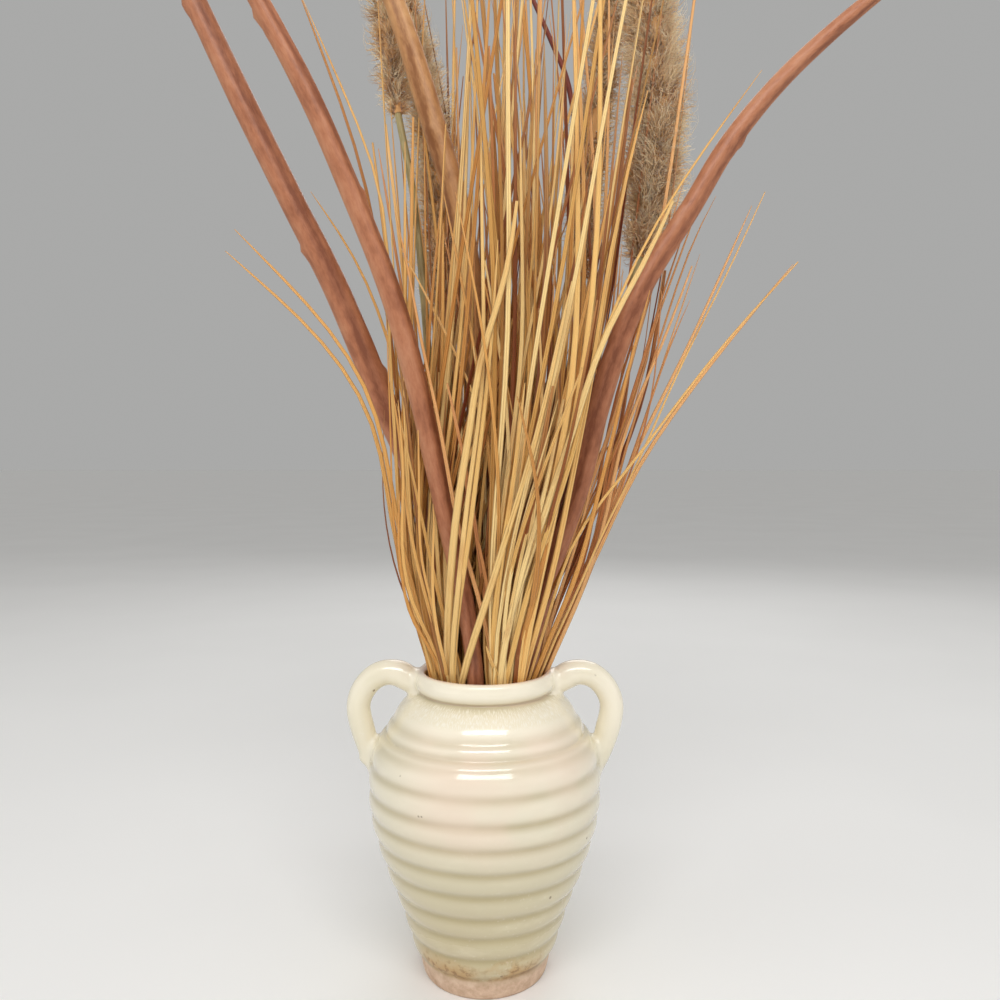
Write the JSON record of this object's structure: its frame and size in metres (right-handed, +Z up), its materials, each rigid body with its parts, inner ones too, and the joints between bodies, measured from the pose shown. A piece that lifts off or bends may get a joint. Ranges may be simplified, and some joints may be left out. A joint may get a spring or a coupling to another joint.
{
  "type": "dried flower arrangement in a vase",
  "caption": "Dried grasses, reed plumes and curved painted branches that fan out of a ringed cream pottery vase with side handles.",
  "frame": {"origin": "centre of the vase's foot, on the surface it stands on", "axes": "+Z up, +X to the right and +Y to the back of the arrangement, with a handle on each side along X"},
  "size_m": [0.5225, 0.2909, 0.791],
  "materials": {
    "glaze": "gloss",
    "foam": "matte",
    "terracotta_branch": "satin",
    "tan_branch": "satin",
    "dark_branch": "matte",
    "stalk": "satin",
    "fluff": "matte",
    "straw_pale": "satin",
    "straw_gold": "satin",
    "straw_rust": "satin"
  },
  "bodies": {
    "root": {"vase": "glaze", "dry_foam": "foam", "branch_1": "terracotta_branch", "branch_2": "terracotta_branch", "branch_3": "tan_branch", "branch_4": "dark_branch", "branch_5": "terracotta_branch", "reed_stalk_1": "stalk", "reed_stalk_2": "stalk", "reed_stalk_3": "stalk", "reed_stalk_4": "stalk", "reed_plume_1": "fluff", "reed_plume_2": "fluff", "reed_plume_3": "fluff", "reed_plume_4": "fluff", "grass_tuft_01": "straw_gold", "grass_tuft_02": "straw_pale", "grass_tuft_03": "straw_pale", "grass_tuft_04": "straw_gold", "grass_tuft_05": "straw_rust", "grass_tuft_06": "straw_rust", "grass_tuft_07": "straw_pale", "grass_tuft_08": "straw_gold", "grass_tuft_09": "straw_pale", "grass_tuft_10": "straw_rust", "grass_tuft_11": "straw_gold", "grass_tuft_12": "straw_pale", "grass_tuft_13": "straw_gold", "grass_tuft_14": "straw_rust"}
  },
  "joints": []
}
